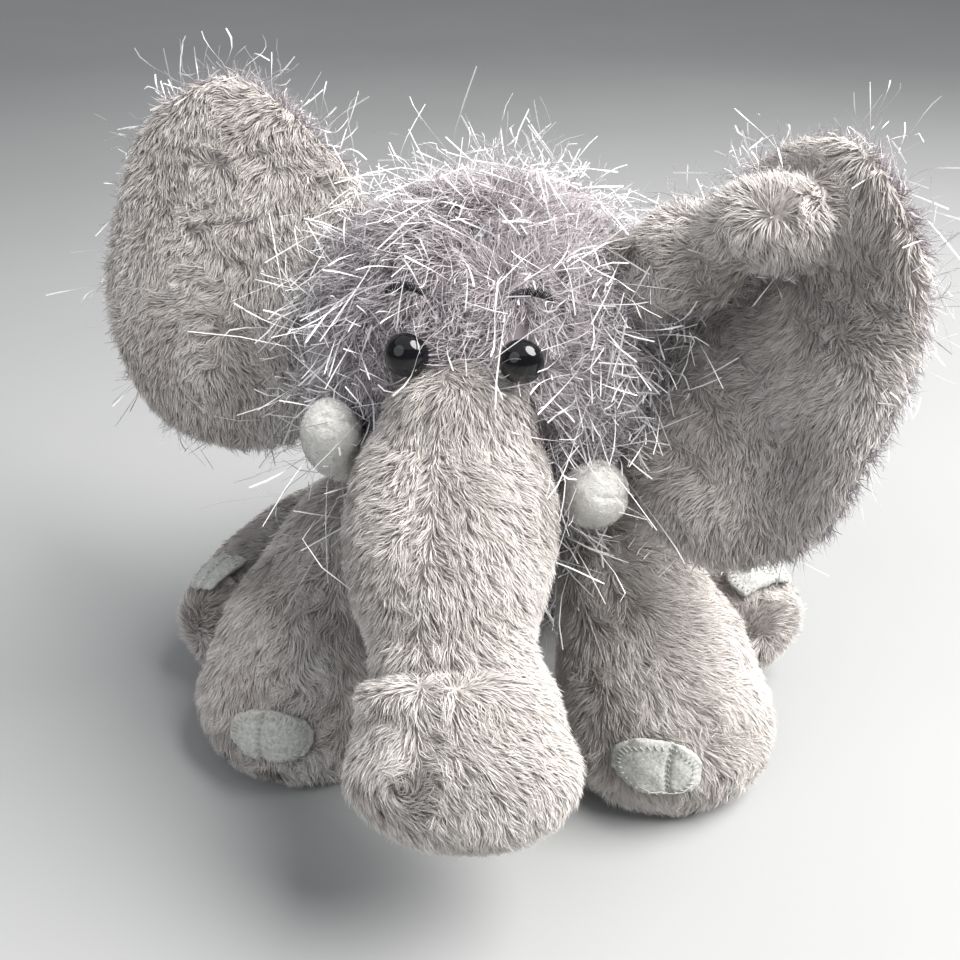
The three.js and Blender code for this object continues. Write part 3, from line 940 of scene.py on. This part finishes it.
def tusk(side):
    """A stuffed cone of short-napped velboa with a seam down its side."""
    rng = rng_for(f"tusk_{side}")
    obj = skin(f"tusk_{side}_velboa", [f"tusk_{side}"], 1.3 * MM, 0.5 * MM, swell=0.3 * MM)
    mesh = obj.data
    co, no = coordinates(mesh), normals(mesh)
    centre = co.mean(0)
    _, _, axes = np.linalg.svd(co - centre, full_matrices=False)
    axis = axes[0]
    seam_side = unit(np.cross(axis, [0, 1, 0.4]))
    radial = (co - centre) - ((co - centre) @ axis)[:, None] * axis
    gap = np.abs(radial @ np.cross(axis, seam_side))
    groove = np.exp(-((gap / (0.5 * MM)) ** 2)) * (radial @ seam_side > 0)
    put(mesh, co - no * (0.45 * MM * groove + 0.06 * MM * np.abs(waves(co, rng, 5 * MM)[:, 0]))[:, None])

    def flow(points, facing):
        return np.tile(-axis * np.sign(axis[2]), (len(points), 1)) * -1

    layers = [pile(obj, rng, flow, length=0.7 * MM, per_mm2=16.0, width=0.11 * MM, lift=0.45, lock=3)]
    join_strands(obj, layers, [NAP])
    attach(obj, "head")
    return finish_piece(obj, [f"tusk_{side}"])


LOBES = {"left": 0.24, "right": -0.24}  # where the cut between the toes lies, in half widths
LOOSE_THREAD = [(-0.8, -0.35), (-0.62, -0.62), (-0.4, -0.72), (-0.15, -0.66), (0.05, -0.74), (0.3, -0.6)]


def toenails(kind, side):
    """Felt appliqué: one patch quilted into two rounded toes, its edge caught down by stitches."""
    rng = rng_for(f"{kind}_nails_{side}")
    node = f"{kind}_toenails_{side}"
    obj = remeshed(f"{node}_felt", [node], 0.8 * MM, smoothing=3)
    subdivided(obj)
    mesh = obj.data
    co, no = coordinates(mesh), normals(mesh)
    centre, _ = box_centre(node)
    foot, _ = box_centre(f"{kind}_cover_{side}")
    out = unit(centre - foot + [0, 0, 6 * MM])
    wide = unit(np.cross(out, [0, 0, 1]))
    tall = np.cross(wide, out)
    u, v = (co - centre) @ wide, (co - centre) @ tall
    half_u, half_v = np.abs(u).max(), np.abs(v).max()
    across = u / half_u * np.sign(wide[0])
    cut = LOBES[side]
    groove = np.exp(-(((across - cut - 0.12 * (v / half_v) ** 2) / 0.07) ** 2))
    dome = np.clip(1 - (v / half_v) ** 2, 0, 1) * np.clip(1 - across**2, 0, 1)
    outward = smooth(no @ out, 0, 0.5)
    crumple = waves(co, rng, 2 * MM)[:, 0] * 0.10 * MM
    lifted = outward * (0.5 * MM * dome - 0.9 * MM * groove) + crumple
    put(mesh, co + no * lifted[:, None])
    smooth_shade(mesh)
    mesh.materials.append(FELT)
    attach(obj, f"{kind}_{side}")
    finish_piece(obj, [node])
    stitches(f"{node}_stitches", mesh, centre, wide, tall, out, half_u, half_v, cut, kind, side)


def stitches(name, mesh, centre, wide, tall, out, half_u, half_v, cut, kind, side):
    """Short stitches round the patch and down between its toes, and a loose end of thread."""
    tree = BVHTree.FromPolygons([v.co for v in mesh.vertices], [p.vertices for p in mesh.polygons])
    bm = bmesh.new()

    def on_patch(u, v, lift=0.12 * MM):
        start = Vector(centre + wide * u + tall * v + out * 12 * MM)
        hit, normal, _, _ = tree.ray_cast(start, Vector(-out))
        return None if hit is None else np.array(hit) + np.array(normal) * lift

    def sew(points):
        if all(p is not None for p in points):
            tube(bm, np.array(points), 0.16 * MM, 5)

    for a in np.linspace(0, 2 * math.pi, 34, endpoint=False):
        lean = a + 0.05
        sew([on_patch(half_u * k * math.cos(b), half_v * k * math.sin(b))
             for k, b in ((0.9, a), (0.84, (a + lean) / 2), (0.78, lean))])
    flip = np.sign(wide[0])
    for share in np.linspace(-0.7, 0.7, 9):
        u = (cut + 0.12 * share**2) * half_u * flip
        sew([on_patch(u - 0.5 * MM, share * half_v), on_patch(u, share * half_v + 0.2 * MM),
             on_patch(u + 0.5 * MM, share * half_v)])
    if kind == "foreleg" and side == "left":
        loop = [on_patch(half_u * x, half_v * y, 0.5 * MM) for x, y in LOOSE_THREAD]
        if all(p is not None for p in loop):
            tube(bm, np.array(loop), 0.13 * MM, 5)
    mesh = bpy.data.meshes.new(name)
    bm.to_mesh(mesh)
    bm.free()
    smooth_shade(mesh)
    mesh.materials.append(STITCH)
    obj = link(name, mesh)
    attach(obj, f"{kind}_{side}")


def repaint(node, material):
    mesh = frame["nodes"][node].data
    mesh.materials.clear()
    mesh.materials.append(material)


# ---- the set ------------------------------------------------------------------------------
def light(name, where, size, watts, color):
    lamp = bpy.data.lights.new(name, "AREA")
    lamp.shape = "DISK"
    lamp.size = size
    lamp.energy = watts
    lamp.color = color
    obj = bpy.data.objects.new(name, lamp)
    bpy.context.scene.collection.objects.link(obj)
    obj.location = where
    obj.rotation_euler = (Vector(where) - TARGET).to_track_quat("Z", "Y").to_euler()
    return obj


def floor():
    bm = bmesh.new()
    rings = [(0.2, 0), (0.5, 0), (1.2, 0), (1.7, 0.05), (2.1, 0.3), (2.3, 0.9), (2.35, 2.2)]
    grid = []
    for radius, height in rings:
        grid.append([bm.verts.new((radius * math.cos(a), radius * math.sin(a), height))
                     for a in np.linspace(0, 2 * math.pi, 48, endpoint=False)])
    bm.faces.new(grid[0])
    for low, high in zip(grid, grid[1:]):
        for i in range(48):
            j = (i + 1) % 48
            bm.faces.new((low[i], low[j], high[j], high[i]))
    bmesh.ops.recalc_face_normals(bm, faces=bm.faces)
    bmesh.ops.reverse_faces(bm, faces=bm.faces)
    mesh = bpy.data.meshes.new("floor")
    bm.to_mesh(mesh)
    bm.free()
    smooth_shade(mesh)
    material, tree, shader = new_material("pale_floor", 0.9, 0.0, 0.2)
    tree.links.new(
        ramp(tree, [(0.3, (0.31, 0.315, 0.315)), (0.7, (0.335, 0.34, 0.34))], noise(tree, 3)),
        shader.inputs["Base Color"],
    )
    mesh.materials.append(material)
    return link("floor", mesh)


def set_the_stage():
    world = bpy.data.worlds.new("studio")
    world.use_nodes = True
    background = world.node_tree.nodes["Background"]
    background.inputs["Color"].default_value = (0.93, 0.95, 1.0, 1)
    background.inputs["Strength"].default_value = 0.72
    bpy.context.scene.world = world
    window = light("window", (0.52, -0.02, 0.72), 0.7, 22, (1.0, 0.985, 0.96))
    fill = light("fill", (-0.5, -0.7, 0.6), 0.9, 3, (0.95, 0.97, 1.0))
    floor()
    bpy.context.scene.view_settings.view_transform = "Standard"


set_the_stage()
body()
head()
trunk()
tail()
for side in ("left", "right"):
    ear(side)
    eye(side)
    brow(side)
    tusk(side)
    repaint(f"eye_washer_{side}", NYLON)
    for kind in ("foreleg", "hindleg"):
        leg(kind, side)
        toenails(kind, side)
repaint("seat_pellet_pouch", POUCH)

bpy.context.view_layer.update()
